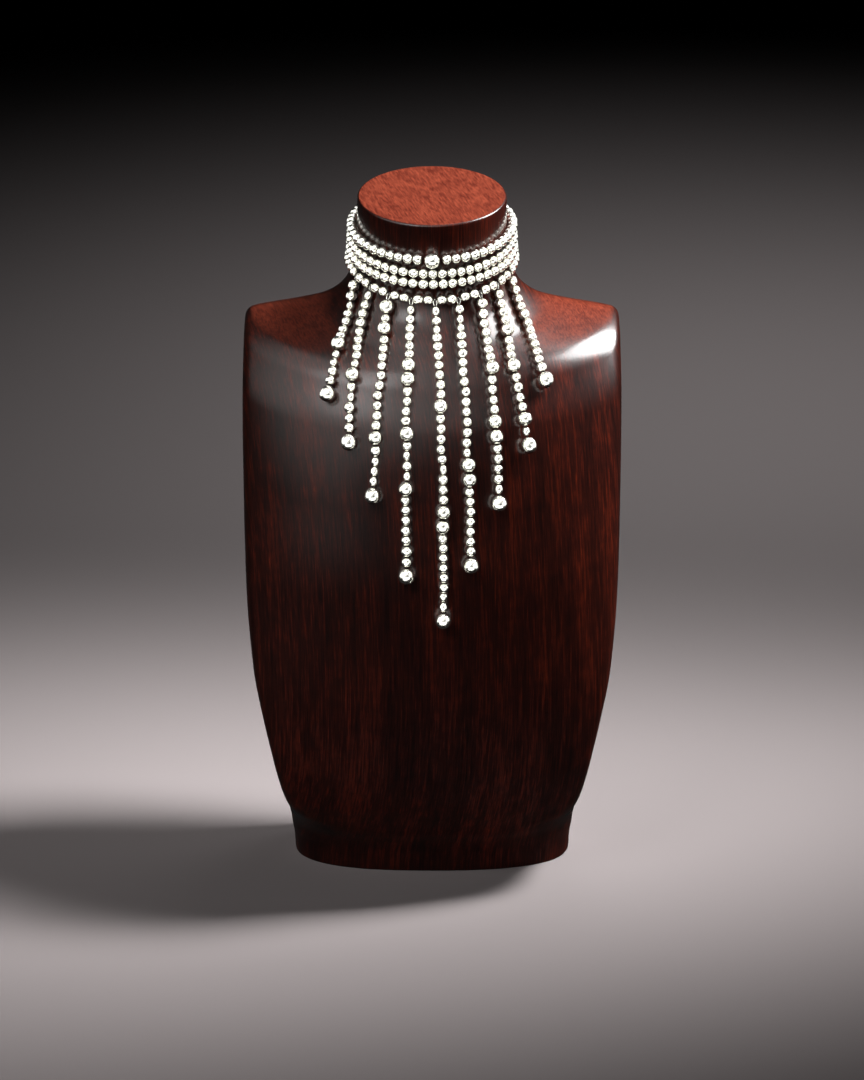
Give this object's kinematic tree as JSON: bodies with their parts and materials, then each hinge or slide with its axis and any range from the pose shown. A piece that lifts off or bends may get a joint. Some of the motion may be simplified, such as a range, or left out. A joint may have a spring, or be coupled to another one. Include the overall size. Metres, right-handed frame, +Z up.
{
  "type": "beaded choker necklace on a wooden neck bust",
  "caption": "Silver bead choker with rows round the neck and a fringe of bead strands that is longest in the middle, worn by a lacquered wooden neck bust.",
  "frame": {"origin": "middle of the bust's flat foot, on the surface that it stands on", "axes": "+Z up through the neck, -Y out of the front of the choker, +X towards the wearer's left"},
  "size_m": [0.253, 0.1982, 0.467],
  "materials": {
    "silver": "mirror-polished silver nugget beads",
    "mahogany": "dark red-brown mahogany under satin-gloss lacquer"
  },
  "bodies": {
    "root": {"neck_bust": "mahogany", "choker_row_1_right": "silver", "choker_row_1_left": "silver", "choker_row_2": "silver", "choker_row_3": "silver", "choker_row_4": "silver", "front_bead": "silver", "back_clasp": "silver", "strand_1": "silver", "end_bead_1": "silver", "strand_2": "silver", "end_bead_2": "silver", "strand_3": "silver", "end_bead_3": "silver", "strand_4": "silver", "end_bead_4": "silver", "strand_5": "silver", "end_bead_5": "silver", "strand_6": "silver", "end_bead_6": "silver", "strand_7": "silver", "end_bead_7": "silver", "strand_8": "silver", "end_bead_8": "silver", "strand_9": "silver", "end_bead_9": "silver"}
  },
  "joints": []
}
